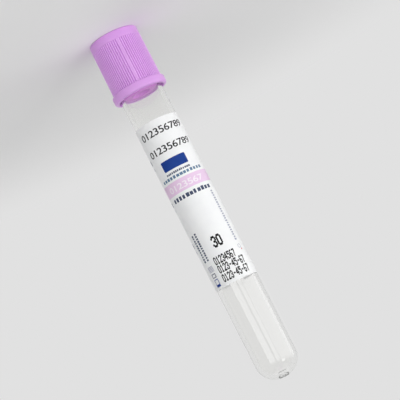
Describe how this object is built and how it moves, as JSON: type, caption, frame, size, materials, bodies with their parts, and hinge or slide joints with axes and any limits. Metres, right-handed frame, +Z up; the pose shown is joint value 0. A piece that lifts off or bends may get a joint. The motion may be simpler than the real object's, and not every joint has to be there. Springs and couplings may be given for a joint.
{
  "type": "blood collection tube",
  "caption": "Evacuated blood collection tube with a round end, a ribbed pull-off cap over a rubber stopper, and a wrapped label with a coloured band.",
  "frame": {"origin": "centre of the closure's flat end face, which the tube stands on upside down", "axes": "+Z up the tube's axis, from the closure to the round end; -Y through the middle of the label's front; the label's window is at +Y"},
  "size_m": [0.0164, 0.0164, 0.1098],
  "materials": {
    "cap_plastic": "satin",
    "stopper_rubber": "matte",
    "clear_plastic": "gloss",
    "label_paper": "satin"
  },
  "bodies": {
    "closure": {"cap": "cap_plastic", "stopper": "stopper_rubber"},
    "vessel": {"tube": "clear_plastic", "label": "label_paper"}
  },
  "joints": [
    {"name": "cap_pull", "type": "slide", "parent": "closure", "child": "vessel", "axis": [0, 0, 1], "range_m": [0, 0.02]}
  ]
}
